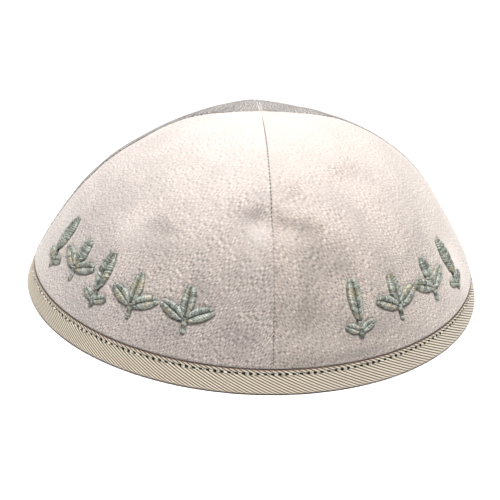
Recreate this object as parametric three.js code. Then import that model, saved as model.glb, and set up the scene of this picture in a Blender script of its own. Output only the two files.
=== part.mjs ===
// A four-panel velvet skullcap with a twill tape folded over its rim.
// Millimetres, +Z up. The rim rests on the plane z = 0 and the crown's axis is Z.
// The front seam faces -Y and the right seam +X.
import * as THREE from "three";

// Driving dimensions
const rimRadius = 95; // outside of the tape where it rests
const crownHeight = 76; // outer face of the cloth where the four panels meet
const clothThickness = 1.8; // velvet, interfacing and backing together
const pressedThickness = 1.4; // the same cloth squeezed flat inside the tape
const tapeThickness = 0.9; // one layer of the folded tape
const tapeWidth = 10.4; // the leg of the folded tape that shows
const tapeInnerWidth = 9.4; // the leg inside the crown is a little shorter
const sewingGap = 0.3; // clearance between neighbouring pieces
const clothShoulder = 1.6; // how soon above the tape the cloth is full again
const panelColumns = 20; // facets across one panel
const panelRows = 18; // facets from the shoulder to the top of one panel

// The crown is cut in four. Each panel stands off from both of its seams by half the gap,
// so it moves outwards by standOff along its own middle.
const seamsAround = 4;
const quarterTurn = (2 * Math.PI) / seamsAround;
const standOff = (sewingGap / 2) * Math.SQRT2;

// How far in from the outer face the layers lie inside the fold of the tape.
const pressedOuter = tapeThickness + sewingGap + standOff;
const pressedInner = pressedOuter + pressedThickness;
const innerLeg = pressedInner + sewingGap;

// Horizontal sections of the crown's outer face, from the rim to the top: the radius at
// each of the four seams, and flat, the share of it that a panel loses half way between two
// seams, where the cloth spans more straightly.
const sections = [
  { height: 0, front: rimRadius, right: rimRadius, back: rimRadius, left: rimRadius, flat: 0 },
  { height: 10, front: 93.4, right: 91.7, back: 92.2, left: 91.6, flat: 0 },
  { height: 20, front: 90, right: 86.8, back: 88, left: 87, flat: 0.006 },
  { height: 32, front: 84.4, right: 79.8, back: 80.5, left: 79.6, flat: 0.016 },
  { height: 44, front: 75.4, right: 72.3, back: 71, left: 70.6, flat: 0.034 },
  { height: 54, front: 65.2, right: 64, back: 58.5, left: 61.4, flat: 0.058 },
  { height: 63, front: 52, right: 53, back: 42, left: 48.4, flat: 0.09 },
  { height: 70, front: 38, right: 40.4, back: 27, left: 36, flat: 0.13 },
  { height: 74.4, front: 22, right: 26, back: 13, left: 22, flat: 0.15 },
  { height: crownHeight, front: 0, right: 0, back: 0, left: 0, flat: 0 },
];

// The panels counter-clockwise from the back seam, which lies towards +Y, with the seams
// on either side of each and how much of the sections' flat each takes.
const backSeamAzimuth = quarterTurn;
const panels = [
  { name: "panel_back_left", from: "back", to: "left", slack: 1.4 },
  { name: "panel_front_left", from: "left", to: "front", slack: 1 },
  { name: "panel_front_right", from: "front", to: "right", slack: 1 },
  { name: "panel_back_right", from: "right", to: "back", slack: 1.3 },
];

// The soft folds and hollows that handling leaves in the cloth. Each runs from one place
// to another, given as degrees round from +X and a height, is pressed in by depth (a
// negative one stands out), and fades over spread to either side.
const folds = [
  { from: { turn: 260, height: 59 }, to: { turn: 268, height: 57.5 }, depth: 1.3, spread: 5 },
  { from: { turn: 272, height: 57 }, to: { turn: 284, height: 52.5 }, depth: 0.8, spread: 5 },
  { from: { turn: 266, height: 53 }, to: { turn: 266.5, height: 42 }, depth: -0.7, spread: 5 },
  { from: { turn: 274, height: 53 }, to: { turn: 273.5, height: 46 }, depth: -0.5, spread: 5 },
  { from: { turn: 278, height: 34 }, to: { turn: 274, height: 22 }, depth: 0.8, spread: 5 },
  { from: { turn: 252, height: 37 }, to: { turn: 264, height: 38 }, depth: 0.6, spread: 5 },
  { from: { turn: 231, height: 49 }, to: { turn: 233, height: 48 }, depth: 0.6, spread: 4 },
  { from: { turn: 309, height: 65 }, to: { turn: 320, height: 62 }, depth: 0.6, spread: 7 },
  { from: { turn: 196, height: 57 }, to: { turn: 199, height: 27 }, depth: -0.6, spread: 6 },
  { from: { turn: 163, height: 16 }, to: { turn: 149, height: 49 }, depth: 3, spread: 20 },
];

const velvet = new THREE.MeshStandardMaterial({ color: 0xd6c9c0, roughness: 0.9, metalness: 0 });
const twill = new THREE.MeshStandardMaterial({ color: 0xb9ac99, roughness: 0.75, metalness: 0 });

// The crown's outer face in the upright half-plane at an azimuth, as a curve of radius
// against height that runs from the rim up to the top.
function meridian(azimuth) {
  const turns = THREE.MathUtils.euclideanModulo((azimuth - backSeamAzimuth) / quarterTurn, seamsAround);
  const { from, to, slack } = panels[Math.floor(turns)];
  const share = turns % 1;
  const points = sections.map((row) => {
    const ruled = THREE.MathUtils.lerp(row[from], row[to], share);
    const lost = slack * row.flat * Math.sin(Math.PI * share);
    return new THREE.Vector2(ruled * (1 - lost), row.height);
  });
  return new THREE.SplineCurve(points);
}

function aroundAxis({ x, y }, azimuth) {
  return new THREE.Vector3(x * Math.cos(azimuth), x * Math.sin(azimuth), y);
}

// The point of the smooth crown at a place of the fold table, to the nearest step.
function foldEnd({ turn, height }) {
  const steps = 200;
  const azimuth = THREE.MathUtils.degToRad(turn);
  const spots = meridian(azimuth).getSpacedPoints(steps);
  return aroundAxis(spots.find((spot) => spot.y >= height), azimuth);
}

const foldLines = folds.map(({ from, to, depth, spread }) => ({
  line: new THREE.Line3(foldEnd(from), foldEnd(to)),
  depth,
  spread,
}));

// How far the folds press in a point of the smooth crown.
function foldDepth(point) {
  const nearest = new THREE.Vector3();
  return foldLines.reduce((sum, { line, depth, spread }) => {
    line.closestPointToPoint(point, true, nearest);
    return sum + depth * Math.exp(-((nearest.distanceTo(point) / spread) ** 2));
  }, 0);
}

// A point of the crown's wall: along is the distance up the meridian from the rim, inward
// the distance behind the outer face. Layers lie level at the rim, so that they all rest.
function wallPoint(azimuth, along, inward) {
  const curve = meridian(azimuth);
  const share = Math.min(along / curve.getLength(), 1);
  const spot = curve.getPointAt(share);
  const slope = share < 1 ? curve.getTangentAt(share) : new THREE.Vector2(-1, 0);
  const inwards = new THREE.Vector2(-slope.y, slope.x);
  const level = new THREE.Vector2(-1, 0);
  const direction = level.lerp(inwards, Math.min(along / tapeWidth, 1)).normalize();
  const pressed = foldDepth(aroundAxis(spot, azimuth));
  return aroundAxis(spot.addScaledVector(direction, inward + pressed), azimuth);
}

// Moves every vertex of a closed geometry to where place({ x, y, z }) says, and drops the
// facets that this leaves with no area, such as those that meet at the top of a panel.
function reshaped(geometry, place) {
  const leastArea = 1e-6;
  const loose = geometry.toNonIndexed().getAttribute("position");
  const corner = new THREE.Vector3();
  const facet = new THREE.Triangle();
  const kept = [];
  for (let i = 0; i < loose.count; i += 3) {
    facet.a.copy(place(corner.fromBufferAttribute(loose, i)));
    facet.b.copy(place(corner.fromBufferAttribute(loose, i + 1)));
    facet.c.copy(place(corner.fromBufferAttribute(loose, i + 2)));
    if (facet.getArea() > leastArea) kept.push(...facet.a, ...facet.b, ...facet.c);
  }
  const solid = new THREE.BufferGeometry();
  solid.setAttribute("position", new THREE.Float32BufferAttribute(kept, 3));
  solid.computeVertexNormals();
  return solid;
}

// The rows of a panel, from its cut edge inside the tape up to its full thickness, as the
// distance up the meridian and how far in the two faces of the cloth lie.
const hemRows = [
  { along: tapeThickness + sewingGap, outer: pressedOuter, inner: pressedInner },
  { along: tapeWidth / 2, outer: pressedOuter, inner: pressedInner },
  { along: tapeWidth + sewingGap, outer: pressedOuter, inner: pressedInner },
];

function panelRow(azimuth, row) {
  if (row < hemRows.length) return hemRows[row];
  const shoulder = tapeWidth + clothShoulder;
  const share = (row - hemRows.length) / panelRows;
  const along = THREE.MathUtils.lerp(shoulder, meridian(azimuth).getLength(), share);
  return { along, outer: 0, inner: clothThickness };
}

// One panel: a unit box whose x runs round the crown from one seam to the next, its y up
// the meridian and its z out through the cloth.
function panel({ name }, index) {
  const start = backSeamAzimuth + index * quarterTurn;
  const rows = hemRows.length + panelRows;
  const block = new THREE.BoxGeometry(1, 1, 1, panelColumns, rows, 1);
  const solid = reshaped(block, ({ x, y, z }) => {
    const azimuth = start + (Math.round((x + 0.5) * panelColumns) / panelColumns) * quarterTurn;
    const { along, outer, inner } = panelRow(azimuth, Math.round((y + 0.5) * rows));
    return wallPoint(azimuth, along, z > 0 ? outer : inner);
  });
  const mesh = new THREE.Mesh(solid, velvet);
  mesh.name = name;
  const middle = start + quarterTurn / 2;
  mesh.position.set(standOff * Math.cos(middle), standOff * Math.sin(middle), 0);
  return mesh;
}

// The folded section of the tape as a closed loop: up the outside, down to the cloth's
// edge, up behind the cloth and down the inside to the flat fold that rests.
const tapeLoop = [
  { along: 0, inward: 0 },
  { along: tapeWidth / 2, inward: 0 },
  { along: tapeWidth, inward: 0 },
  { along: tapeWidth, inward: tapeThickness },
  { along: tapeWidth / 2, inward: tapeThickness },
  { along: tapeThickness, inward: tapeThickness },
  { along: tapeThickness, inward: innerLeg },
  { along: tapeInnerWidth / 2, inward: innerLeg },
  { along: tapeInnerWidth, inward: innerLeg },
  { along: tapeInnerWidth, inward: innerLeg + tapeThickness },
  { along: tapeInnerWidth / 2, inward: innerLeg + tapeThickness },
  { along: 0, inward: innerLeg + tapeThickness },
];

// The tape goes once round: a torus whose tube takes the folded section.
function binding() {
  const columns = panelColumns * seamsAround;
  const ringRadius = 2;
  const ring = new THREE.TorusGeometry(ringRadius, 1, tapeLoop.length, columns);
  const solid = reshaped(ring, ({ x, y, z }) => {
    const round = Math.atan2(y, x) / (2 * Math.PI);
    const roll = Math.atan2(z, Math.hypot(x, y) - ringRadius) / (2 * Math.PI);
    const azimuth = (Math.round(round * columns) / columns) * 2 * Math.PI;
    const corner = THREE.MathUtils.euclideanModulo(Math.round(roll * tapeLoop.length), tapeLoop.length);
    return wallPoint(azimuth, tapeLoop[corner].along, tapeLoop[corner].inward);
  });
  const mesh = new THREE.Mesh(solid, twill);
  mesh.name = "rim_binding";
  return mesh;
}

const skullcap = new THREE.Group();
skullcap.add(...panels.map(panel), binding());

export default skullcap;
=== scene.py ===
import math

import bpy
import numpy as np
from mathutils import Matrix, Vector, noise
from mathutils.kdtree import KDTree


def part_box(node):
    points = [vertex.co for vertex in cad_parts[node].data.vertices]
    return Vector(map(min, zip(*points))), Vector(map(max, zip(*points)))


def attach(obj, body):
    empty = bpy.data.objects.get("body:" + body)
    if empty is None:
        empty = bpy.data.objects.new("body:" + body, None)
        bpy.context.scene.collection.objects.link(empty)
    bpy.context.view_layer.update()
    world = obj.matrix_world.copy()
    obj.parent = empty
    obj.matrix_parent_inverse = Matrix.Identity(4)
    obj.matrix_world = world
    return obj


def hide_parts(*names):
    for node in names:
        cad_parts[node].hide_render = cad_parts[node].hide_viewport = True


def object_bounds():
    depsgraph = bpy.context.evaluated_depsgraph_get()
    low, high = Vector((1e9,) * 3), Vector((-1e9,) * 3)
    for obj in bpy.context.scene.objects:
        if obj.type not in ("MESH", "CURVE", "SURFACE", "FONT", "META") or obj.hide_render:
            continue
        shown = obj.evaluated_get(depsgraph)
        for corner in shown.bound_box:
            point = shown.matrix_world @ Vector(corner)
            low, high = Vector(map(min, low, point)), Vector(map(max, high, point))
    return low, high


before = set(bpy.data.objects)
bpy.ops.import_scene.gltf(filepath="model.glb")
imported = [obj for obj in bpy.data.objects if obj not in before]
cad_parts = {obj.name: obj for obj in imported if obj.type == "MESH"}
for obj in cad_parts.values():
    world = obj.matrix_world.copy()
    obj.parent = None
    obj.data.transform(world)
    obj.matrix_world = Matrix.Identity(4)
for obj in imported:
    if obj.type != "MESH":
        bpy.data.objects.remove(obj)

mm = 0.001
cadLow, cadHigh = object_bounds()
rimLow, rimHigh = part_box("rim_binding")
rimRadius = (rimHigh.x - rimLow.x) / 2
crownHeight = cadHigh.z
fullTurn = 2 * math.pi
quarterTurn = fullTurn / 4
rng = np.random.default_rng(7)
print("frame loaded: rim radius", round(rimRadius, 4), "crown height", round(crownHeight, 4))

crown = {
    # height and the radius at the four seams in mm, and the share of it that a panel loses
    # half way between them: height, front, right, back, left, flat
    "sections": (
        (10.0, 93.4, 91.7, 92.2, 91.6, 0.000),
        (20.0, 90.0, 86.8, 88.0, 87.0, 0.006),
        (32.0, 84.4, 79.8, 80.5, 79.6, 0.016),
        (44.0, 75.4, 72.3, 71.0, 70.6, 0.034),
        (54.0, 65.2, 64.0, 58.5, 61.4, 0.058),
        (63.0, 52.0, 53.0, 42.0, 48.4, 0.090),
        (70.0, 38.0, 40.4, 27.0, 36.0, 0.130),
        (74.4, 22.0, 26.0, 13.0, 22.0, 0.150),
    ),
    # the seam before each panel, the seam after it, and its share of the flat
    "panels": (
        ("back", "left", 1.4),
        ("left", "front", 1.0),
        ("front", "right", 1.0),
        ("right", "back", 1.3),
    ),
    # soft folds: from a turn in degrees and a height in mm, to another, how deep and how wide
    "folds": (
        (260, 59.0, 268.0, 57.5, 1.3, 5),
        (272, 57.0, 284.0, 52.5, 0.8, 5),
        (266, 53.0, 266.5, 42.0, -0.7, 5),
        (274, 53.0, 273.5, 46.0, -0.5, 5),
        (278, 34.0, 274.0, 22.0, 0.8, 5),
        (252, 37.0, 264.0, 38.0, 0.6, 5),
        (231, 49.0, 233.0, 48.0, 0.6, 4),
        (309, 65.0, 320.0, 62.0, 0.6, 7),
        (196, 57.0, 199.0, 27.0, -0.6, 6),
        (163, 16.0, 149.0, 49.0, 3.0, 20),
    ),
    "columns": 1440,  # how finely the smooth shape is worked out, round
    "rows": 280,  # and up
    "stepsBetween": 40,  # and between two sections
    "levelWithin": 10.4 * mm,  # layers turn from level at the rim to square on the cloth
}


def smoothThrough(points, steps):
    # a curve through the points of each row, with the given steps from one to the next
    last = points.shape[1] - 1
    share = np.linspace(0, 1, steps, endpoint=False)[None, :, None]
    spans = []
    for i in range(last):
        before, start, end, after = (points[:, min(max(k, 0), last)][:, None] for k in range(i - 1, i + 3))
        leave = (end - before) / 2
        arrive = (after - start) / 2
        cubic = (2 * start - 2 * end + leave + arrive) * share**3
        square = (3 * end - 3 * start - 2 * leave - arrive) * share**2
        spans.append(cubic + square + leave * share + start)
    return np.concatenate([*spans, points[:, -1:]], axis=1)


def shapeCrown():
    # radius and height on a fine net of turns and even shares of the way up each meridian
    columnNames = ("height", "front", "right", "back", "left", "flat")
    table = dict(zip(columnNames, np.array(crown["sections"]).T))
    turns = np.arange(crown["columns"] + 1) / crown["columns"] * fullTurn
    fromBack = np.mod(turns - quarterTurn, fullTurn) / quarterTurn
    panelIndex = np.minimum(fromBack.astype(int), 3)
    share = (fromBack - panelIndex)[:, None]
    before = np.array([table[seams[0]] for seams in crown["panels"]])[panelIndex]
    after = np.array([table[seams[1]] for seams in crown["panels"]])[panelIndex]
    slack = np.array([seams[2] for seams in crown["panels"]])[panelIndex][:, None]
    ruled = before + (after - before) * share
    radius = ruled * (1 - slack * table["flat"] * np.sin(np.pi * share)) * mm
    height = np.broadcast_to(table["height"] * mm, radius.shape)
    zero = np.zeros((len(turns), 1))
    radius = np.hstack([zero + rimRadius, radius, zero])
    height = np.hstack([zero, height, zero + crownHeight])
    curve = smoothThrough(np.stack([radius, height], axis=-1), crown["stepsBetween"])
    gone = np.linalg.norm(np.diff(curve, axis=1), axis=-1).cumsum(axis=1)
    gone = np.hstack([zero, gone])
    wanted = np.linspace(0, 1, crown["rows"] + 1)
    net = np.empty((len(turns), len(wanted), 2))
    for i, far in enumerate(gone):
        net[i, :, 0] = np.interp(wanted * far[-1], far, curve[i, :, 0])
        net[i, :, 1] = np.interp(wanted * far[-1], far, curve[i, :, 1])
    slope = np.gradient(net, axis=1)
    slope[:, -1] = (-1, 0)
    slope /= np.linalg.norm(slope, axis=-1, keepdims=True)
    inwards = np.stack([-slope[..., 1], slope[..., 0]], axis=-1)
    along = wanted * gone[:, -1:]
    blend = np.minimum(along / crown["levelWithin"], 1)[..., None]
    direction = np.array([-1.0, 0.0]) * (1 - blend) + inwards * blend
    direction /= np.linalg.norm(direction, axis=-1, keepdims=True)
    return net, direction, gone[:, -1]


crownNet, crownInward, crownLengths = shapeCrown()


def between(net, turn, share):
    # the value of a net at any turn and share of the way up
    column = np.mod(turn, fullTurn) / fullTurn * crown["columns"]
    row = np.clip(share, 0, 1) * crown["rows"]
    i = np.minimum(column.astype(int), crown["columns"] - 1)
    j = np.minimum(row.astype(int), crown["rows"] - 1)
    s = (column - i)[..., None]
    t = (row - j)[..., None]
    low = net[i, j] * (1 - s) + net[i + 1, j] * s
    high = net[i, j + 1] * (1 - s) + net[i + 1, j + 1] * s
    return low * (1 - t) + high * t


def lengthAt(turn):
    # how far it is up the cloth from the rim to the top
    column = np.mod(turn, fullTurn) / fullTurn * crown["columns"]
    return np.interp(column, np.arange(len(crownLengths)), crownLengths)


def roundAxis(flat, turn):
    return np.stack([flat[..., 0] * np.cos(turn), flat[..., 0] * np.sin(turn), flat[..., 1]], axis=-1)


def alongAt(turn, height):
    # the distance up the cloth at which it reaches a height
    shares = np.linspace(0, 1, crown["rows"] + 1)
    heights = between(crownNet, np.full(shares.shape, turn), shares)[:, 1]
    return float(np.interp(height, heights, shares) * lengthAt(turn))


def foldEnds():
    ends = []
    for turnA, heightA, turnB, heightB, depth, spread in crown["folds"]:
        line = []
        for turn, height in ((turnA, heightA), (turnB, heightB)):
            turn = math.radians(turn)
            share = alongAt(turn, height * mm) / lengthAt(turn)
            line.append(roundAxis(between(crownNet, np.array(turn), np.array(share)), turn))
        ends.append((*line, depth * mm, spread * mm))
    return ends


foldLines = foldEnds()


def foldDepth(points):
    total = np.zeros(points.shape[:-1])
    for start, end, depth, spread in foldLines:
        way = end - start
        share = np.clip((points - start) @ way / (way @ way), 0, 1)
        away = np.linalg.norm(points - start - share[..., None] * way, axis=-1)
        total += depth * np.exp(-((away / spread) ** 2))
    return total


def wallAt(turn, along, inward):
    # points of the crown's wall, as arrays
    turn, along, inward = np.broadcast_arrays(turn, along, inward)
    share = along / lengthAt(turn)
    flat = between(crownNet, turn, share)
    direction = between(crownInward, turn, share)
    pressed = foldDepth(roundAxis(flat, turn))
    flat = flat + direction * (inward + pressed)[..., None]
    return roundAxis(flat, turn)


def radiusAt(turn, along):
    return between(crownNet, turn, along / lengthAt(turn))[..., 0]


# Ways of making meshes, each from a primitive whose vertices are then laid in place.
def deselectAll():
    if bpy.context.object and bpy.context.object.mode != "OBJECT":
        bpy.ops.object.mode_set(mode="OBJECT")
    bpy.ops.object.select_all(action="DESELECT")


def pick(piece):
    deselectAll()
    piece.select_set(True)
    bpy.context.view_layer.objects.active = piece


def namePiece(name):
    piece = bpy.context.object
    piece.name = name
    piece.data.name = name
    return piece


def vertexArray(piece):
    spots = np.empty(len(piece.data.vertices) * 3)
    piece.data.vertices.foreach_get("co", spots)
    return spots.reshape(-1, 3)


def moveVertices(piece, spots):
    piece.data.vertices.foreach_set("co", np.ascontiguousarray(spots).ravel())
    piece.data.update()


def cornerVertices(piece):
    corners = np.empty(len(piece.data.loops), dtype=int)
    piece.data.loops.foreach_get("vertex_index", corners)
    return corners


def setMap(piece, name, values):
    # a UV map from values at each face corner
    layer = piece.data.uv_layers.get(name) or piece.data.uv_layers.new(name=name)
    layer.data.foreach_set("uv", np.ascontiguousarray(values).ravel())


def smooth(piece, degrees):
    pick(piece)
    bpy.ops.object.shade_smooth_by_angle(angle=math.radians(degrees))


def layGrid(name, columns, rows):
    # a grid of quads, with the column and row of each vertex
    deselectAll()
    bpy.ops.mesh.primitive_grid_add(x_subdivisions=columns, y_subdivisions=rows, size=2)
    piece = namePiece(name)
    spots = vertexArray(piece)
    column = np.rint((spots[:, 0] + 1) / 2 * columns).astype(int)
    row = np.rint((spots[:, 1] + 1) / 2 * rows).astype(int)
    return piece, column, row


def applyModifiers(piece):
    pick(piece)
    for modifier in list(piece.modifiers):
        bpy.ops.object.modifier_apply(modifier=modifier.name)


def mergeDoubles(piece):
    pick(piece)
    bpy.ops.object.mode_set(mode="EDIT")
    bpy.ops.mesh.select_all(action="SELECT")
    bpy.ops.mesh.remove_doubles(threshold=0.004 * mm)
    bpy.ops.object.mode_set(mode="OBJECT")


def twistThreads(name, routes, radius):
    # one mesh of many short threads, each a route of points with a thickness share at each
    curve = bpy.data.curves.new(name, "CURVE")
    curve.dimensions = "3D"
    curve.bevel_depth = radius
    curve.bevel_resolution = 1
    curve.use_fill_caps = True
    for points, shares in routes:
        spline = curve.splines.new("POLY")
        spline.points.add(len(points) - 1)
        spline.points.foreach_set("co", np.hstack([points, np.ones((len(points), 1))]).ravel())
        spline.points.foreach_set("radius", shares)
    piece = bpy.data.objects.new(name, curve)
    bpy.context.collection.objects.link(piece)
    pick(piece)
    bpy.ops.object.convert(target="MESH")
    piece = namePiece(name)
    # "strand" gives each thread its own number and the share of the way along it
    perThread = len(piece.data.vertices) // len(routes)
    perPoint = perThread // len(routes[0][0])
    corners = cornerVertices(piece)
    chance = rng.random(len(routes))[corners // perThread]
    along = corners % perThread // perPoint / (len(routes[0][0]) - 1)
    setMap(piece, "strand", np.stack([chance, along], axis=-1))
    smooth(piece, 60)
    return piece


# Ways of making finishes.
def fromHex(code):
    # a colour as it is seen, made linear
    seen = [int(code[i:i + 2], 16) / 255 for i in (0, 2, 4)]
    return np.array([c / 12.92 if c <= 0.04045 else ((c + 0.055) / 1.055) ** 2.4 for c in seen])


def startFinish(name, roughness):
    material = bpy.data.materials.new(name)
    material.use_nodes = True
    shader = material.node_tree.nodes["Principled BSDF"]
    shader.inputs["Roughness"].default_value = roughness
    return material, material.node_tree, shader.inputs


def feed(tree, socket, value):
    if isinstance(value, bpy.types.NodeSocket):
        tree.links.new(value, socket)
    else:
        socket.default_value = value


def addNode(tree, kind, inputs, **settings):
    node = tree.nodes.new(kind)
    for name, value in settings.items():
        setattr(node, name, value)
    for name, value in inputs.items():
        feed(tree, node.inputs[name], value)
    return node


def addMath(tree, operation, *values):
    node = addNode(tree, "ShaderNodeMath", {}, operation=operation)
    for socket, value in zip(node.inputs, values):
        feed(tree, socket, value)
    return node.outputs[0]


def addRamp(tree, factor, *stops):
    node = addNode(tree, "ShaderNodeValToRGB", {"Fac": factor})
    elements = node.color_ramp.elements
    while len(elements) < len(stops):
        elements.new(0.5)
    for element, (place, colour) in zip(elements, stops):
        element.position = place
        element.color = (*np.broadcast_to(colour, 3), 1)
    return node.outputs["Color"]


def addMix(tree, factor, first, second, blend="MIX"):
    node = addNode(tree, "ShaderNodeMix", {}, data_type="RGBA", blend_type=blend)
    feed(tree, node.inputs[0], factor)
    feed(tree, node.inputs[6], first)
    feed(tree, node.inputs[7], second)
    return node.outputs[2]


def addNoise(tree, vector, scale, detail=2.0, roughness=0.5):
    inputs = {"Vector": vector, "Scale": scale, "Detail": detail, "Roughness": roughness}
    return addNode(tree, "ShaderNodeTexNoise", inputs).outputs["Fac"]


def addBump(tree, height, distance, strength=1.0):
    inputs = {"Height": height, "Distance": distance, "Strength": strength}
    return addNode(tree, "ShaderNodeBump", inputs).outputs["Normal"]


def readMap(tree, name):
    return addNode(tree, "ShaderNodeUVMap", {}, uv_map=name).outputs["UV"]


def stretchMap(tree, name, across, up, lean=0.0):
    # the map so scaled that grain is about across wide and up long, leaning to the left
    inputs = {"Vector": readMap(tree, name), "Rotation": (0, 0, math.radians(-lean))}
    turned = addNode(tree, "ShaderNodeMapping", inputs, vector_type="POINT").outputs["Vector"]
    inputs = {"Vector": turned, "Scale": (1 / across, 1 / up, 1)}
    return addNode(tree, "ShaderNodeMapping", inputs, vector_type="POINT").outputs["Vector"]


def readPlace(tree):
    return addNode(tree, "ShaderNodeTexCoord", {}).outputs["Object"]


# The camera stands low before the cap, a little round to the left of its front seam.
camera = {
    "turn": -6.0,
    "elevation": 26.7,
    "roll": 3.24,
    "distance": 0.70,
    "lens": 119.5,
    "aimAcross": -1.3 * mm,
    "aimUp": 12.9 * mm,
}


def placeCamera():
    turn = math.radians(camera["turn"])
    elevation = math.radians(camera["elevation"])
    roll = math.radians(camera["roll"])
    level = math.cos(elevation)
    back = Vector((math.sin(turn) * level, -math.cos(turn) * level, math.sin(elevation)))
    right = Vector((math.cos(turn), math.sin(turn), 0))
    up = back.cross(right)
    across = right * math.cos(roll) + up * math.sin(roll)
    upright = up * math.cos(roll) - right * math.sin(roll)
    spot = right * camera["aimAcross"] + Vector((0, 0, camera["aimUp"])) + back * camera["distance"]
    bpy.ops.object.camera_add()
    view = bpy.context.object
    view.name = "view"
    facing = Matrix((across, upright, back)).transposed().to_4x4()
    view.matrix_world = Matrix.Translation(spot) @ facing
    view.data.lens = camera["lens"]
    view.data.sensor_width = 36
    view.data.clip_start = 0.01
    bpy.context.scene.camera = view


placeCamera()
print("camera placed")

# The sprigs: leaves of satin stitch in a row above the tape.
sprigs = {
    # turn in degrees and height in mm of each motif's middle, and what it is
    "left": (
        (197.1, 28.9, "leaf"),
        (208.9, 28.7, "sprig"),
        (220.3, 27.9, "leaf"),
        (232.4, 27.6, "sprig"),
        (247.8, 28.2, "sprig"),
    ),
    "right": (
        (292.6, 29.0, "leaf"),
        (306.0, 28.6, "sprig"),
        (321.1, 28.3, "sprig"),
        (334.3, 26.8, "leaf"),
    ),
    # leaves in mm: foot across and up, lean in degrees, length, half width, bend
    "leaves": {
        "sprig": (
            (0.0, -3.6, 0, 13.0, 2.7, 0.0),
            (-0.7, -4.6, 54, 11.6, 2.5, -2.0),
            (0.7, -4.6, -54, 11.6, 2.5, 2.0),
        ),
        "leaf": (
            (0.0, -5.6, 0, 17.6, 3.1, 0.0),
            (-0.6, -9.6, 56, 6.6, 1.6, -1.0),
            (0.6, -9.6, -56, 6.6, 1.6, 1.0),
        ),
    },
    # stems in mm: from across and up to across and up, and half width
    "stems": {
        "sprig": ((0.0, -9.6, 0.0, -3.8, 0.9),),
        "leaf": ((0.0, -12.0, 0.0, -5.8, 0.9),),
    },
    "pitch": 0.52,  # from one thread to the next, mm
    "veinGap": 0.12,  # from the vein to the foot of a stitch, mm
    "overEdge": 0.15,  # and past the leaf's edge to its end, mm
    "stray": 0.07,  # how far a stitch's ends are off, mm
    "threadRadius": 0.28 * mm,
    "rise": 1.05 * mm,  # how far the padding lifts the middle of a satin stitch
    "slant": 0.13,  # how far up the leaf, as a share of it, a stitch climbs from vein to edge
}


def satinLeaf(foot, lean, length, halfWidth, bend):
    # stitches from the vein out to either edge, as pairs of points in mm
    lean = math.radians(lean)
    upward = np.array([-math.sin(lean), math.cos(lean)])
    across = np.array([math.cos(lean), math.sin(lean)])

    def veinAt(t):
        return np.array(foot) + upward * length * t + across * bend * t * t

    def widthAt(t):
        return halfWidth * (4 * t * (1 - t)) ** 0.8

    stitches = []
    count = int(length / sprigs["pitch"])
    for i in range(count):
        t = (i + 0.5) / count * (1 - sprigs["slant"] * 0.6)
        edge = min(t + sprigs["slant"] * (1 - t), 0.995)
        for side in (-1, 1):
            inner = veinAt(t) + across * side * sprigs["veinGap"]
            outer = veinAt(edge) + across * side * (widthAt(edge) + sprigs["overEdge"])
            stitches.append((inner, outer))
    return stitches


def satinBar(start, end, halfWidth):
    # stitches straight across a stem
    start, end = np.array(start), np.array(end)
    way = end - start
    length = np.linalg.norm(way)
    across = np.array([-way[1], way[0]]) / length
    count = int(length / sprigs["pitch"])
    return [
        (start + way * t - across * halfWidth, start + way * t + across * halfWidth)
        for t in (np.arange(count) + 0.5) / count
    ]


def motifStitches(kind):
    stitches = []
    for across, up, lean, length, halfWidth, bend in sprigs["leaves"][kind]:
        stitches += satinLeaf((across, up), lean, length, halfWidth, bend)
    for fromX, fromY, toX, toY, halfWidth in sprigs["stems"][kind]:
        stitches += satinBar((fromX, fromY), (toX, toY), halfWidth)
    return np.array(stitches)


def threadRoutes(motifs):
    # every stitch as a route over its padding, and where the needle went in
    climb = np.array([0.0, 0.07, 0.22, 0.5, 0.78, 0.93, 1.0])
    lift = np.array([-0.35, 0.15, 0.75, 1.0, 0.75, 0.15, -0.35])
    thickness = np.array([0.8, 1, 1, 1, 1, 1, 0.8])
    routes = []
    needleSpots = []
    for turnDegrees, height, kind in motifs:
        middle = math.radians(turnDegrees)
        middleAlong = alongAt(middle, height * mm)
        stitches = motifStitches(kind)
        stitches = stitches + rng.normal(0, sprigs["stray"], stitches.shape)
        ends = stitches[:, None, 0] + (stitches[:, None, 1] - stitches[:, None, 0]) * climb[None, :, None]
        along = middleAlong + ends[..., 1] * mm
        turn = middle + ends[..., 0] * mm / radiusAt(np.full(along.shape, middle), along)
        reach = np.linalg.norm(stitches[:, 1] - stitches[:, 0], axis=-1)
        rise = sprigs["rise"] * np.clip(reach / 3.2, 0.45, 1.1) * rng.normal(1, 0.06, reach.shape)
        inward = -lift[None, :] * rise[:, None]
        spots = wallAt(turn, along, inward)
        routes += [(spot, thickness) for spot in spots]
        needleSpots.append(wallAt(turn[:, (0, -1)], along[:, (0, -1)], 0.0).reshape(-1, 3))
    return routes, np.concatenate(needleSpots)


leftRoutes, leftNeedles = threadRoutes(sprigs["left"])
rightRoutes, rightNeedles = threadRoutes(sprigs["right"])
print("sprigs laid out:", len(leftRoutes), "and", len(rightRoutes), "stitches")


def needleTree(spots):
    tree = KDTree(len(spots))
    for i, spot in enumerate(spots):
        tree.insert(spot, i)
    tree.balance()
    return tree


needles = needleTree(np.concatenate([leftNeedles, rightNeedles]))

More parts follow.
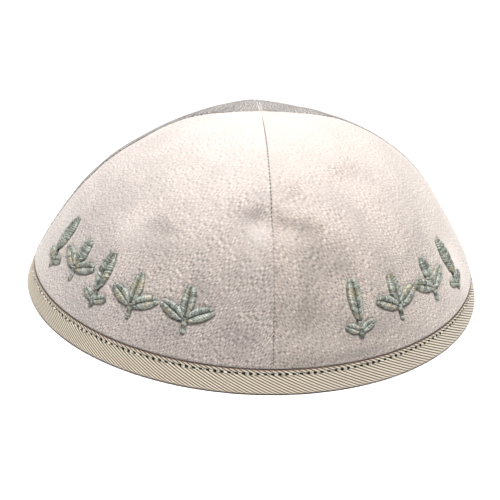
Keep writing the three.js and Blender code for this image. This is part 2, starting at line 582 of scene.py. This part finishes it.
# The velvet panels.
velvet = {
    "columns": 150,
    "rows": 168,
    "thickness": 1.5 * mm,
    "seamGap": 0.05 * mm,  # half of what shows between two panels
    "grooveDepth": 0.30 * mm,
    "grooveWidth": 0.45 * mm,
    "shoulderHeight": 0.2 * mm,  # the seam allowance behind lifts the cloth beside the seam
    "shoulderWidth": 5.5 * mm,
    "puckerDepth": 0.10 * mm,
    "puckerPitch": 3.1 * mm,
    "puckerWidth": 2.2 * mm,
    "needlePress": 0.55 * mm,  # stitches pull the pile down round the sprigs
    "needleSpread": 0.75 * mm,
    "needlesBelow": 46 * mm,
    "waveDepth": 0.35 * mm,  # the cloth is never quite even
    "waveLength": 21 * mm,
    # how the edge goes into the tape: along and inward, mm
    "hem": (
        (1.3, 1.46), (5.6, 1.46), (9.6, 1.40), (10.3, 1.22), (10.45, 0.98), (10.53, 0.60),
        (10.66, 0.20), (10.95, -0.05), (11.7, -0.10), (12.5, -0.03),
    ),
    "hemStop": 16 * mm,  # and where it ends
    "calmFrom": 10.3 * mm,  # beside the tape the pile is pressed, and its unevenness fades
    "calmOver": 2.2 * mm,
    "flatWidth": quarterTurn * rimRadius,
    # painted shade and painted highlights where the cloth dents and creases: turn in degrees and height in
    # mm, how wide and how tall they fade in mm, and the share of the tone that is left
    "paintedShadeAndLightSpots": (
        (263, 58, 6, 4, 0.45),
        (275, 56, 6, 3, 0.5),
        (282, 54, 6, 4, 0.55),
        (280, 63, 5, 5, 0.75),
        (310, 65, 8, 4, 0.75),
        (290, 42, 7, 5, 0.55),
        (286, 48, 9, 5, 0.65),
        (279, 40, 3, 12, 0.8),
        (278, 31, 4, 7, 0.75),
        (250, 31, 5, 6, 0.8),
        (277, 12, 6, 3, 0.6),
        (298, 19, 12, 6, 0.8),
        (293, 13, 17, 2, 0.45),
        (233, 49, 6, 3, 0.6),
        (193, 50, 5, 5, 0.7),
        (206, 22, 9, 5, 0.85),
        (265, 52, 4, 5, 1.3),
        (279, 20, 10, 5, 1.25),
        (222, 45, 12, 8, 1.25),
        (338, 24, 10, 12, 1.9),
    ),
    "paintedCrownLight": 1.7,  # painted light: the front panels' tone is made lighter towards the top, where the light falls hardest
    "paintedBackShade": 0.45,  # painted shade: behind, the tone is made darker near the top and beside the side seams
    "paintedShadeWidth": 9 * mm,
    "paintedSeamHighlight": 0.8,  # painted highlight: near the top, the back seam's edge is made lighter
    "paintedHighlightWidth": 0.7 * mm,
}


def risingFrom(spots, start, stop):
    # 0 below a start and 1 above a stop, both shares of the crown's height
    return np.clip((spots[:, 2] / crownHeight - start) / (stop - start), 0, 1)


def paintedLightAndShade(name, spots):
    # painted light and painted shade on the pile at each point
    shade = np.ones(len(spots))
    # each spot darkens or lightens the tone: painted shade and painted highlights of dents and creases
    for turn, height, wide, tall, left in velvet["paintedShadeAndLightSpots"]:
        turn = math.radians(turn)
        middle = wallAt(turn, alongAt(turn, height * mm), 0.0)
        level = np.array([-math.sin(turn), math.cos(turn), 0.0])
        across = (spots - middle) @ level / (wide * mm)
        rest = spots - middle - ((spots - middle) @ level)[:, None] * level
        up = np.linalg.norm(rest, axis=1) / (tall * mm)
        shade *= 1 + (left - 1) * np.exp(-(across**2) - up**2)
    # painted light: the front panels lighter towards the top
    if "Front" in name:
        return shade * (1 + (velvet["paintedCrownLight"] - 1) * risingFrom(spots, 0.5, 1.0))
    # painted shade: the back panels darker near the top and beside the side seams
    high = risingFrom(spots, 0.55, 0.9)
    beside = risingFrom(spots, 0.3, 0.5) * np.exp(-((spots[:, 1] / velvet["paintedShadeWidth"]) ** 2))
    shade *= 1 - (1 - velvet["paintedBackShade"]) * np.maximum(high, beside)
    # painted highlight along the back seam near the top
    shine = risingFrom(spots, 0.94, 0.98) * np.exp(-((spots[:, 0] / velvet["paintedHighlightWidth"]) ** 2))
    return shade * (1 + velvet["paintedSeamHighlight"] * shine)


def waviness(spots):
    scale = 1 / velvet["waveLength"]
    finer = 2.7 * scale
    return np.array([noise.noise(Vector(s) * scale) + 0.35 * noise.noise(Vector(s) * finer) for s in spots])


def velvetRelief(turn, along, spots):
    # how far in the pile's face lies at each point of the smooth crown
    radius = np.hypot(spots[:, 0], spots[:, 1])
    fromSeam = np.mod(turn + quarterTurn / 2, quarterTurn) - quarterTurn / 2
    away = np.abs(radius * np.sin(fromSeam))
    groove = velvet["grooveDepth"] * np.exp(-((away / velvet["grooveWidth"]) ** 2))
    groove *= np.clip((radius - 4 * mm) / (22 * mm), 0.2, 1)  # the seams lie flat near the top
    shoulder = velvet["shoulderHeight"] * np.exp(-((away / velvet["shoulderWidth"]) ** 4))
    # the puckers come unevenly, and in another order along each seam
    wander = 1.3 * np.sin(along / (17 * mm)) + 5 * np.rint(turn / quarterTurn)
    pull = 0.5 + 0.5 * np.cos(fullTurn * along / velvet["puckerPitch"] + wander)
    pucker = velvet["puckerDepth"] * pull * np.exp(-((away / velvet["puckerWidth"]) ** 2))
    wave = velvet["waveDepth"] * waviness(spots) * np.clip(along / (30 * mm) - 0.35, 0, 1)
    press = np.zeros(len(spots))
    for i in np.flatnonzero(spots[:, 2] < velvet["needlesBelow"]):
        near = needles.find(spots[i])[2]
        press[i] = velvet["needlePress"] * math.exp(-((near / velvet["needleSpread"]) ** 2))
    calm = np.clip((along - velvet["calmFrom"]) / velvet["calmOver"], 0, 1)
    return groove * np.clip(calm * 3, 0, 1) + (pucker - shoulder + wave + press) * calm


def makeVelvetPanel(name, index):
    columns, rows = velvet["columns"], velvet["rows"]
    piece, column, row = layGrid(name, columns, rows)
    even = column / columns
    share = even - 0.075 * np.sin(fullTurn * even)  # closer columns beside the seams
    turn = quarterTurn * (1 + index + share)
    hem = np.array(velvet["hem"]) * mm
    top = lengthAt(turn)
    last = len(hem) - 1
    level = np.clip((row - last) / (rows - last), 0, 1)
    along = hem[np.minimum(row, last), 0] + (top - hem[last, 0]) * level
    inward = np.interp(along, hem[:, 0], hem[:, 1])
    inward = np.where(along > velvet["hemStop"], 0, inward)
    spots = wallAt(turn, along, 0.0)
    spots = wallAt(turn, along, inward + velvetRelief(turn, along, spots))
    middle = quarterTurn * (1.5 + index)
    spots[:, :2] += velvet["seamGap"] * math.sqrt(2) * np.array([math.cos(middle), math.sin(middle)])
    moveVertices(piece, spots)
    # metres across and up the cloth from its middle, and from its nearer seam
    corners = cornerVertices(piece)
    width = quarterTurn * np.hypot(spots[:, 0], spots[:, 1])
    setMap(piece, "cut", np.stack([(share - 0.5) * width, along], axis=-1)[corners])
    setMap(piece, "edge", np.stack([np.minimum(share, 1 - share) * width, along], axis=-1)[corners])
    # painted light and shade go to a map, with the share of it that is painted light
    shade = paintedLightAndShade(name, spots)
    # the share of painted light at each point
    upright = np.clip((shade - 1) / (velvet["paintedCrownLight"] - 1), 0, 1)
    setMap(piece, "smudge", np.stack([shade, upright], axis=-1)[corners])
    mergeDoubles(piece)
    for _ in range(2):
        piece.data.materials.append(None)  # velvet outside, and its backing inside
    pick(piece)
    wall = piece.modifiers.new("wall", "SOLIDIFY")
    wall.thickness = velvet["thickness"]
    wall.offset = -1
    wall.material_offset = 1
    applyModifiers(piece)
    smooth(piece, 75)
    return piece


panelNames = ("velvetBackLeft", "velvetFrontLeft", "velvetFrontRight", "velvetBackRight")
velvetPanels = {name: makeVelvetPanel(name, index) for index, name in enumerate(panelNames)}
print("velvet panels made")

# The allowances of the four seams, pressed open on the inside.
allowance = {
    "halfWidth": 6 * mm,
    "columns": 16,
    "rows": 90,
    "thickness": 0.55 * mm,
    "start": 9.8 * mm,
    "stop": 2.5 * mm,  # short of the top
    "clearance": 0.5 * mm,  # behind the panels
    "ridgeHeight": 0.35 * mm,  # it is higher along the seam and at the stitches beside it
    "ridgeWidth": 0.8 * mm,
    "ridgeAway": 0.9 * mm,
    "swellWidth": 2.5 * mm,
    "waveDepth": 0.12 * mm,
    "waveLength": 6 * mm,
}


def makeAllowance(name, seamTurn):
    piece, column, row = layGrid(name, allowance["columns"], allowance["rows"])
    side = column / allowance["columns"] * 2 - 1
    far = float(lengthAt(np.array(seamTurn))) - allowance["stop"]
    along = allowance["start"] + (far - allowance["start"]) * row / allowance["rows"]
    radius = radiusAt(np.full(along.shape, seamTurn), along)
    reach = np.minimum(allowance["halfWidth"], radius * 0.8)
    away = side * reach
    turn = seamTurn + np.arcsin(np.clip(away / radius, -1, 1))
    ridge = np.exp(-(((np.abs(away) - allowance["ridgeAway"]) / allowance["ridgeWidth"]) ** 2))
    swell = np.exp(-((away / allowance["swellWidth"]) ** 2))
    inward = velvet["thickness"] + allowance["clearance"] + allowance["ridgeHeight"] * (swell + ridge)
    inward += allowance["waveDepth"] * np.sin(along / allowance["waveLength"] + side)
    moveVertices(piece, wallAt(turn, along, inward))
    corners = cornerVertices(piece)
    setMap(piece, "cut", np.stack([away, along], axis=-1)[corners])
    wall = piece.modifiers.new("wall", "SOLIDIFY")
    wall.thickness = allowance["thickness"]
    wall.offset = -1
    applyModifiers(piece)
    smooth(piece, 60)
    return piece


seamNames = ("seamAllowanceRight", "seamAllowanceBack", "seamAllowanceLeft", "seamAllowanceFront")
seamAllowances = {name: makeAllowance(name, quarterTurn * i) for i, name in enumerate(seamNames)}
print("seam allowances made")

# The twill tape, folded over the rim.
tape = {
    "ribs": 264,
    "columnsPerRib": 8,
    "ribHeight": 0.17 * mm,
    "ribLean": 1.95,  # how far a rib runs round for each step down
    "stitches": 216,
    "stitchRow": 8.4 * mm,
    "pitDepth": 0.70 * mm,
    "pitLength": 0.75 * mm,
    "pitHeight": 0.40 * mm,
    "pitSlant": 0.15,  # how far a pit falls for each step round
    "innerStitchRow": 7.0 * mm,
    "stitchRadius": 0.21 * mm,
    "stitchTilt": -0.45 * mm,
    "outerFace": 0.1 * mm,  # how far in the stitches lie on the two legs of the fold
    "innerFace": 3.88 * mm,
    # the folded section in mm: along, inward, place on the strip, share of the rib's height
    "section": (
        (1.10, 0.02, 1.1, 1.0), (2.40, 0.00, 2.4, 1.0), (3.70, -0.02, 3.7, 1.0),
        (5.00, -0.02, 5.0, 1.0), (6.20, 0.00, 6.2, 1.0), (7.20, 0.03, 7.2, 1.0),
        (7.75, 0.08, 7.75, 1.0), (8.10, 0.12, 8.1, 1.0), (8.40, 0.14, 8.4, 1.0),
        (8.70, 0.12, 8.7, 1.0), (9.05, 0.06, 9.05, 1.0), (9.60, 0.00, 9.6, 1.0),
        (10.10, 0.02, 10.1, 0.9), (10.35, 0.16, 10.4, 0.4), (10.40, 0.42, 10.6, 0.0),
        (10.28, 0.74, 10.6, 0.0), (5.20, 0.88, 5.2, 0.0), (1.50, 0.92, 1.5, 0.0),
        (1.00, 1.30, -1.3, 0.0), (1.00, 2.60, -2.6, 0.0), (1.50, 3.08, -5.5, 0.0),
        (5.00, 3.14, -9.0, 0.0), (9.05, 3.20, -13.0, 0.0), (9.30, 3.42, -13.2, 0.0),
        (9.15, 3.80, -13.1, 0.5), (8.60, 3.92, -12.6, 1.0), (7.60, 3.95, -11.6, 1.0),
        (7.00, 3.90, -11.0, 1.0), (6.40, 3.95, -10.4, 1.0), (4.60, 4.00, -8.6, 1.0),
        (2.80, 4.00, -6.8, 1.0), (1.40, 3.98, -5.4, 1.0), (0.55, 3.88, -4.5, 0.9),
        (0.13, 3.45, -3.9, 0.6), (0.00, 2.90, -3.2, 0.0), (0.00, 1.15, -1.2, 0.0),
        (0.13, 0.60, -0.5, 0.6), (0.50, 0.16, 0.3, 0.9),
    ),
}


def makeTape():
    # a flat strip, rolled up until both pairs of its edges meet
    section = np.array(tape["section"])
    columns = tape["ribs"] * tape["columnsPerRib"]
    piece, column, corner = layGrid("rimTape", columns, len(section))
    along, inward, strip, weight = section[corner % len(section)].T
    along, inward, strip = along * mm, inward * mm, strip * mm
    turn = column / columns * fullTurn - tape["ribLean"] * strip / rimRadius
    phase = column % tape["columnsPerRib"] / tape["columnsPerRib"]
    crest = np.sqrt(0.5 - 0.5 * np.cos(fullTurn * phase))
    inward = inward + tape["ribHeight"] * weight * (0.75 - crest)
    inward += stitchPits(turn, along) * (inward < 0.6 * mm)
    moveVertices(piece, wallAt(turn, along, inward))
    # "ribs" counts the ribs round, and "strip" gives metres round and across the tape
    corners = cornerVertices(piece)
    setMap(piece, "ribs", np.stack([column / tape["columnsPerRib"], strip], axis=-1)[corners])
    setMap(piece, "strip", np.stack([turn * rimRadius, strip], axis=-1)[corners])
    mergeDoubles(piece)
    smooth(piece, 70)
    return piece


def stitchPits(turn, along):
    # hollows where the needle went through, slanted as the ribs are
    pitch = fullTurn / tape["stitches"]
    across = (np.mod(turn + pitch / 2, pitch) - pitch / 2) * rimRadius
    up = along - tape["stitchRow"] + tape["pitSlant"] * across
    return tape["pitDepth"] * np.exp(-((across / tape["pitLength"]) ** 2) - (up / tape["pitHeight"]) ** 2)


rimTape = makeTape()
print("tape folded over the rim")


def rimStitchRoutes():
    # the thread between the needle holes, outside and inside
    climb = np.array([0.28, 0.33, 0.40, 0.5, 0.60, 0.67, 0.72])
    lift = np.array([-0.30, 0.02, 0.14, 0.18, 0.14, 0.02, -0.30]) * mm
    thickness = np.array([0.8, 1, 1, 1, 1, 1, 0.8])
    pitch = fullTurn / tape["stitches"]
    routes = []
    for i in range(tape["stitches"]):
        turn = (i + climb) * pitch
        tilt = (climb - 0.5) * tape["stitchTilt"]
        outside = wallAt(turn, tape["stitchRow"] + tilt, tape["outerFace"] - lift)
        inside = wallAt(turn, tape["innerStitchRow"] - tilt, tape["innerFace"] + lift)
        routes += [(outside, thickness), (inside, thickness)]
    return routes


rimStitches = twistThreads("rimStitches", rimStitchRoutes(), tape["stitchRadius"])
sprigsLeft = twistThreads("sprigsLeft", leftRoutes, sprigs["threadRadius"])
sprigsRight = twistThreads("sprigsRight", rightRoutes, sprigs["threadRadius"])
print("stitches laid")

# Down in each seam its own stitches show, thread by thread.
seamThreads = {
    "pitch": 1.75 * mm,
    "length": 0.6 * mm,
    "radius": 0.23 * mm,
    # as shares of the way up, where the pile stops closing over them, and how deep they lie
    "covered": (0.35, 0.6),
    "depths": (0.24 * mm, 0.0),
    "start": 12.5 * mm,
    "stop": 7 * mm,  # short of the top
}


def seamThreadRoutes():
    routes = []
    share = np.array([-0.5, -0.25, 0.25, 0.5])
    sunk = np.array([0.35, 0, 0, 0.35]) * mm
    for i in (0, 2, 3):  # the back seam has closed over its own
        turn = np.full(share.shape, quarterTurn * i)
        far = float(lengthAt(turn[0])) - seamThreads["stop"]
        for middle in np.arange(seamThreads["start"], far, seamThreads["pitch"]):
            along = middle + share * seamThreads["length"]
            depth = np.interp(middle / far, seamThreads["covered"], seamThreads["depths"])
            routes.append((wallAt(turn, along, depth + sunk), np.ones(4)))
    return routes


seamStitches = twistThreads("seamStitches", seamThreadRoutes(), seamThreads["radius"])
print("seams stitched")

# Finishes. Tones are as they look under a plain white light, apart from the painted light and shade noted
# below.
velvetLooks = {
    # the pile's tone, how far its strokes lean to the left in degrees, and its sheen: behind,
    # the pile lies the other way
    "velvetFrontLeft": ("847973", -33, 0.60),
    "velvetFrontRight": ("84786F", 36, 0.59),
    "velvetBackLeft": ("B7B1AD", -20, 0.08),
    "velvetBackRight": ("B7B1AD", 20, 0.08),
    "strokeWidth": 0.26 * mm,
    "strokeLength": 1.15 * mm,
    "strokeDark": 0.2,
    "strokeLight": 2.1,
    "paintedLightTone": "847E7B",  # where light is painted on, the strokes give way to this tone and hardly show
    "patchSize": 13 * mm,  # where handling has brushed the pile another way
    "patchDark": 0.72,
    "seamPaintedShade": 0.75,  # painted shade: what is left of the tone down in a seam
    "seamWidth": 0.45 * mm,
    "stitchPitch": 1.7 * mm,
    "sheenRoughness": 0.81,
    "sheenTone": (1.0, 0.94, 0.9, 1),
}


def velvetFinish(name):
    tone, lean, sheen = velvetLooks[name]
    tone = fromHex(tone)
    material, tree, shader = startFinish(name, 0.95)
    grain = stretchMap(tree, "cut", velvetLooks["strokeWidth"], velvetLooks["strokeLength"], lean)
    strokes = addNoise(tree, grain, 1.0, 0.0)
    pile = addRamp(tree, strokes, (0.36, tone * velvetLooks["strokeDark"]), (0.5, tone),
                   (0.64, tone * velvetLooks["strokeLight"]))
    brushed = addNoise(tree, readPlace(tree), 1 / velvetLooks["patchSize"], 2.5, 0.6)
    brushed = addRamp(tree, brushed, (0.36, velvetLooks["patchDark"]), (0.62, 1.0))
    pile = addMix(tree, 1.0, pile, brushed, "MULTIPLY")
    # painted shade down the seams
    pile = addMix(tree, 1.0, pile, seamShade(tree), "MULTIPLY")
    # the painted light and shade map: X multiplies the tone, Y is the share of painted light
    smudge = addNode(tree, "ShaderNodeSeparateXYZ", {"Vector": readMap(tree, "smudge")}).outputs
    # where light is painted, the tone leans to the painted light tone
    upright = addMath(tree, "MULTIPLY", smudge["Y"], 0.7)
    pile = addMix(tree, upright, pile, (*fromHex(velvetLooks["paintedLightTone"]), 1))
    feed(tree, shader["Base Color"], addMix(tree, 1.0, pile, smudge["X"], "MULTIPLY"))
    feed(tree, shader["Normal"], addBump(tree, strokes, 0.3 * mm, 0.6))
    shader["Sheen Weight"].default_value = sheen
    shader["Sheen Roughness"].default_value = velvetLooks["sheenRoughness"]
    shader["Sheen Tint"].default_value = velvetLooks["sheenTone"]
    shader["Specular IOR Level"].default_value = 0.1
    return material


def seamShade(tree):
    # painted shade down a seam, darkest at each stitch
    parts = addNode(tree, "ShaderNodeSeparateXYZ", {"Vector": readMap(tree, "edge")})
    count = addMath(tree, "DIVIDE", parts.outputs["Y"], velvetLooks["stitchPitch"])
    stitch = addMath(tree, "MULTIPLY", addMath(tree, "PINGPONG", count, 0.5), 0.9)
    away = addMath(tree, "DIVIDE", parts.outputs["X"], velvetLooks["seamWidth"])
    away = addMath(tree, "ADD", away, stitch)
    return addRamp(tree, away, (0.30, velvetLooks["seamPaintedShade"]), (1.0, 1.0))


backingLooks = {
    "tone": "CFC6BB",
    "threadPitch": 0.5 * mm,
    "slubLength": 4 * mm,
}


def backingFinish():
    # a plain weave, inside the crown
    tone = fromHex(backingLooks["tone"])
    material, tree, shader = startFinish("backingCloth", 0.9)
    pitch = backingLooks["threadPitch"]
    inputs = {"Vector": readMap(tree, "cut"), "Scale": math.pi / 10 / pitch, "Distortion": 0.5}
    threads = [
        addNode(tree, "ShaderNodeTexWave", inputs, bands_direction=way).outputs["Fac"]
        for way in ("X", "Y")
    ]
    weave = addMath(tree, "MULTIPLY", *threads)
    slubs = addNoise(tree, stretchMap(tree, "cut", pitch, backingLooks["slubLength"]), 1.0)
    shade = addMath(tree, "MULTIPLY_ADD", slubs, 0.5, weave)
    feed(tree, shader["Base Color"], addRamp(tree, shade, (0.2, tone * 0.7), (0.9, tone)))
    feed(tree, shader["Normal"], addBump(tree, weave, 0.15 * mm, 0.6))
    return material


twillLooks = {
    "crest": "D1C7B6",
    "side": "9E9180",
    # painted shade down between the ribs
    "groove": "2E241C",
    "fold": "45281C",  # painted shade along both of the edges that show, where the tape meets the velvet and the floor
    "foldFrom": 9.72 * mm,  # on the strip, where it starts at the upper edge
    "foldMiddle": -0.4 * mm,  # and where its middle and its end are at the lower one
    "foldReach": 0.9 * mm,
    "foldFade": 0.4 * mm,
    # painted shade down in the needle holes, over this much of the strip
    "paintedHoleShade": "020202",
    "holeLength": 0.95 * mm,
    "holeHeight": 0.50 * mm,
}


def twillFinish():
    tone = {name: fromHex(twillLooks[name]) for name in ("crest", "side", "groove", "fold", "paintedHoleShade")}
    material, tree, shader = startFinish("twillTape", 0.6)
    ribCount = addNode(tree, "ShaderNodeSeparateXYZ", {"Vector": readMap(tree, "ribs")}).outputs["X"]
    fromGroove = addMath(tree, "MULTIPLY", addMath(tree, "PINGPONG", ribCount, 0.5), 2.0)
    yarn = addNoise(tree, stretchMap(tree, "strip", 0.5 * mm, 0.25 * mm), 1.0, 3.0, 0.6)
    rough = addMath(tree, "MULTIPLY_ADD", yarn, 0.4, addMath(tree, "SUBTRACT", fromGroove, 0.2))
    # darker towards the grooves: painted shade between the ribs
    ribs = addRamp(tree, rough, (0.12, tone["groove"]), (0.42, tone["side"]), (0.72, tone["crest"]))
    # painted shade along the tape's edges
    ribs = addMix(tree, foldCover(tree), ribs, (*tone["fold"], 1))
    # painted shade down the needle holes
    feed(tree, shader["Base Color"], addMix(tree, paintedHoleShadeCover(tree), ribs, (*tone["paintedHoleShade"], 1)))
    feed(tree, shader["Normal"], addBump(tree, yarn, 0.12 * mm, 0.5))
    shader["Sheen Weight"].default_value = 0.06
    shader["Specular IOR Level"].default_value = 0.3
    return material


def foldCover(tree):
    # white along the tape's upper edge and the outer edge of the fold that rests, where shade is painted
    strip = addNode(tree, "ShaderNodeSeparateXYZ", {"Vector": readMap(tree, "strip")}).outputs["Y"]
    upper = addMath(tree, "SUBTRACT", strip, twillLooks["foldFrom"])
    fromMiddle = addMath(tree, "ABSOLUTE", addMath(tree, "SUBTRACT", strip, twillLooks["foldMiddle"]))
    lower = addMath(tree, "SUBTRACT", twillLooks["foldReach"], fromMiddle)
    beyond = addMath(tree, "DIVIDE", addMath(tree, "MAXIMUM", upper, lower), twillLooks["foldFade"])
    return addRamp(tree, beyond, (0.0, 0.0), (1.0, 0.85))


def paintedHoleShadeCover(tree):
    # white over the slanted needle holes of the stitch row, where their shade is painted
    parts = addNode(tree, "ShaderNodeSeparateXYZ", {"Vector": readMap(tree, "strip")})
    pitch = fullTurn * rimRadius / tape["stitches"]
    count = addMath(tree, "ADD", addMath(tree, "DIVIDE", parts.outputs["X"], pitch), 0.5)
    across = addMath(tree, "SUBTRACT", addMath(tree, "FRACT", count), 0.5)
    across = addMath(tree, "MULTIPLY", across, pitch)
    slant = addMath(tree, "MULTIPLY", across, tape["pitSlant"])
    up = addMath(tree, "ADD", addMath(tree, "SUBTRACT", parts.outputs["Y"], tape["stitchRow"]), slant)
    wide = addMath(tree, "POWER", addMath(tree, "DIVIDE", across, twillLooks["holeLength"]), 2.0)
    tall = addMath(tree, "POWER", addMath(tree, "DIVIDE", up, twillLooks["holeHeight"]), 2.0)
    return addRamp(tree, addMath(tree, "ADD", wide, tall), (0.75, 1.0), (1.0, 0.0))


threadLooks = {
    # darkest and lightest tone, tone of the odd warmer strand, and roughness
    "sewingThread": ("A89A86", "E4DACA", "C0B09A", 0.55),
    # the seam thread's near-black tones are painted shade of the seam it lies in
    "paintedShadeSeamThread": ("1E1A17", "3A322C", "4A3E36", 0.8),
    "satinThread": ("5C6158", "A8ADA3", "A5977B", 0.30),
    "warmthSize": 4 * mm,
    "paintedFootShade": 0.35,  # painted shade: a thread is darker where it goes down into the cloth
}


def threadFinish(name):
    dark, light, warm, roughness = threadLooks[name]
    material, tree, shader = startFinish(name, roughness)
    parts = addNode(tree, "ShaderNodeSeparateXYZ", {"Vector": readMap(tree, "strand")})
    plain = addRamp(tree, parts.outputs["X"], (0.1, fromHex(dark)), (0.9, fromHex(light)))
    warmth = addNoise(tree, readPlace(tree), 1 / threadLooks["warmthSize"], 2.0)
    odd = addRamp(tree, warmth, (0.52, 0.0), (0.72, 0.8))
    mixed = addMix(tree, odd, plain, (*fromHex(warm), 1))
    # painted shade at each thread's ends
    foot = addRamp(tree, addMath(tree, "PINGPONG", parts.outputs["Y"], 0.5),
                   (0.02, threadLooks["paintedFootShade"]), (0.16, 1.0))
    feed(tree, shader["Base Color"], addMix(tree, 1.0, mixed, foot, "MULTIPLY"))
    shader["Specular IOR Level"].default_value = 0.7
    return material


backing = backingFinish()
for name, piece in velvetPanels.items():
    piece.data.materials[0] = velvetFinish(name)
    piece.data.materials[1] = backing
for piece in seamAllowances.values():
    piece.data.materials.append(backing)
rimTape.data.materials.append(twillFinish())
rimStitches.data.materials.append(threadFinish("sewingThread"))
seamStitches.data.materials.append(threadFinish("paintedShadeSeamThread"))
satin = threadFinish("satinThread")
for piece in (sprigsLeft, sprigsRight):
    piece.data.materials.append(satin)
print("finishes set")

# What each piece rides on and stands for.
cadNodes = {
    "velvetBackLeft": "panel_back_left",
    "velvetFrontLeft": "panel_front_left",
    "velvetFrontRight": "panel_front_right",
    "velvetBackRight": "panel_back_right",
}
for name, piece in velvetPanels.items():
    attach(piece, "root")
    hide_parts(cadNodes[name])
for piece in seamAllowances.values():
    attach(piece, "root")
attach(rimTape, "root")
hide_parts("rim_binding")
for piece in (rimStitches, seamStitches):
    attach(piece, "root")
for piece in (sprigsLeft, sprigsRight):
    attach(piece, "root")

# Floor and light.
studio = {
    "floorSize": 60.0,
    "floorTone": "FFFFFF",
    "skyStrength": 0.07,
    "ceilingLight": {"turn": 270, "elevation": 87, "distance": 2.0, "power": 3.35, "spread": 52},
    "crownSpot": {"turn": 282, "elevation": 80, "distance": 0.9, "size": 0.12, "power": 86.0, "cone": 16.5},
}


def makeFloor():
    deselectAll()
    bpy.ops.mesh.primitive_plane_add(size=studio["floorSize"], location=(0, 0, -0.0002))
    floor = namePiece("floor")
    tone = fromHex(studio["floorTone"])
    material, tree, shader = startFinish("paleFloor", 0.9)
    grain = addNoise(tree, readPlace(tree), 12.0)
    feed(tree, shader["Base Color"], addRamp(tree, grain, (0.0, tone * 0.97), (1.0, tone)))
    shader["Specular IOR Level"].default_value = 0.0
    floor.data.materials.append(material)


def hangLamp(name, kind):
    # a lamp that faces the crown's foot
    looks = studio[name]
    turn, elevation = math.radians(looks["turn"]), math.radians(looks["elevation"])
    level = Vector((math.cos(turn), math.sin(turn), 0))
    way = level * math.cos(elevation) + Vector((0, 0, math.sin(elevation)))
    bpy.ops.object.light_add(type=kind, location=way * looks["distance"])
    lamp = bpy.context.object
    lamp.name = name
    lamp.rotation_euler = way.to_track_quat("Z", "Y").to_euler()
    lamp.data.energy = looks["power"]
    return lamp.data


def lightStudio():
    world = bpy.data.worlds.new("studio")
    bpy.context.scene.world = world
    world.use_nodes = True
    sky = world.node_tree.nodes["Background"].inputs
    sky["Color"].default_value = (1, 1, 1, 1)
    sky["Strength"].default_value = studio["skyStrength"]
    ceilingLight = hangLamp("ceilingLight", "SUN")
    ceilingLight.angle = math.radians(studio["ceilingLight"]["spread"])
    crownSpot = hangLamp("crownSpot", "SPOT")
    crownSpot.shadow_soft_size = studio["crownSpot"]["size"]
    crownSpot.spot_size = math.radians(studio["crownSpot"]["cone"])
    crownSpot.spot_blend = 1.0
    bpy.context.scene.view_settings.view_transform = "Standard"


makeFloor()
lightStudio()
print("studio lit")
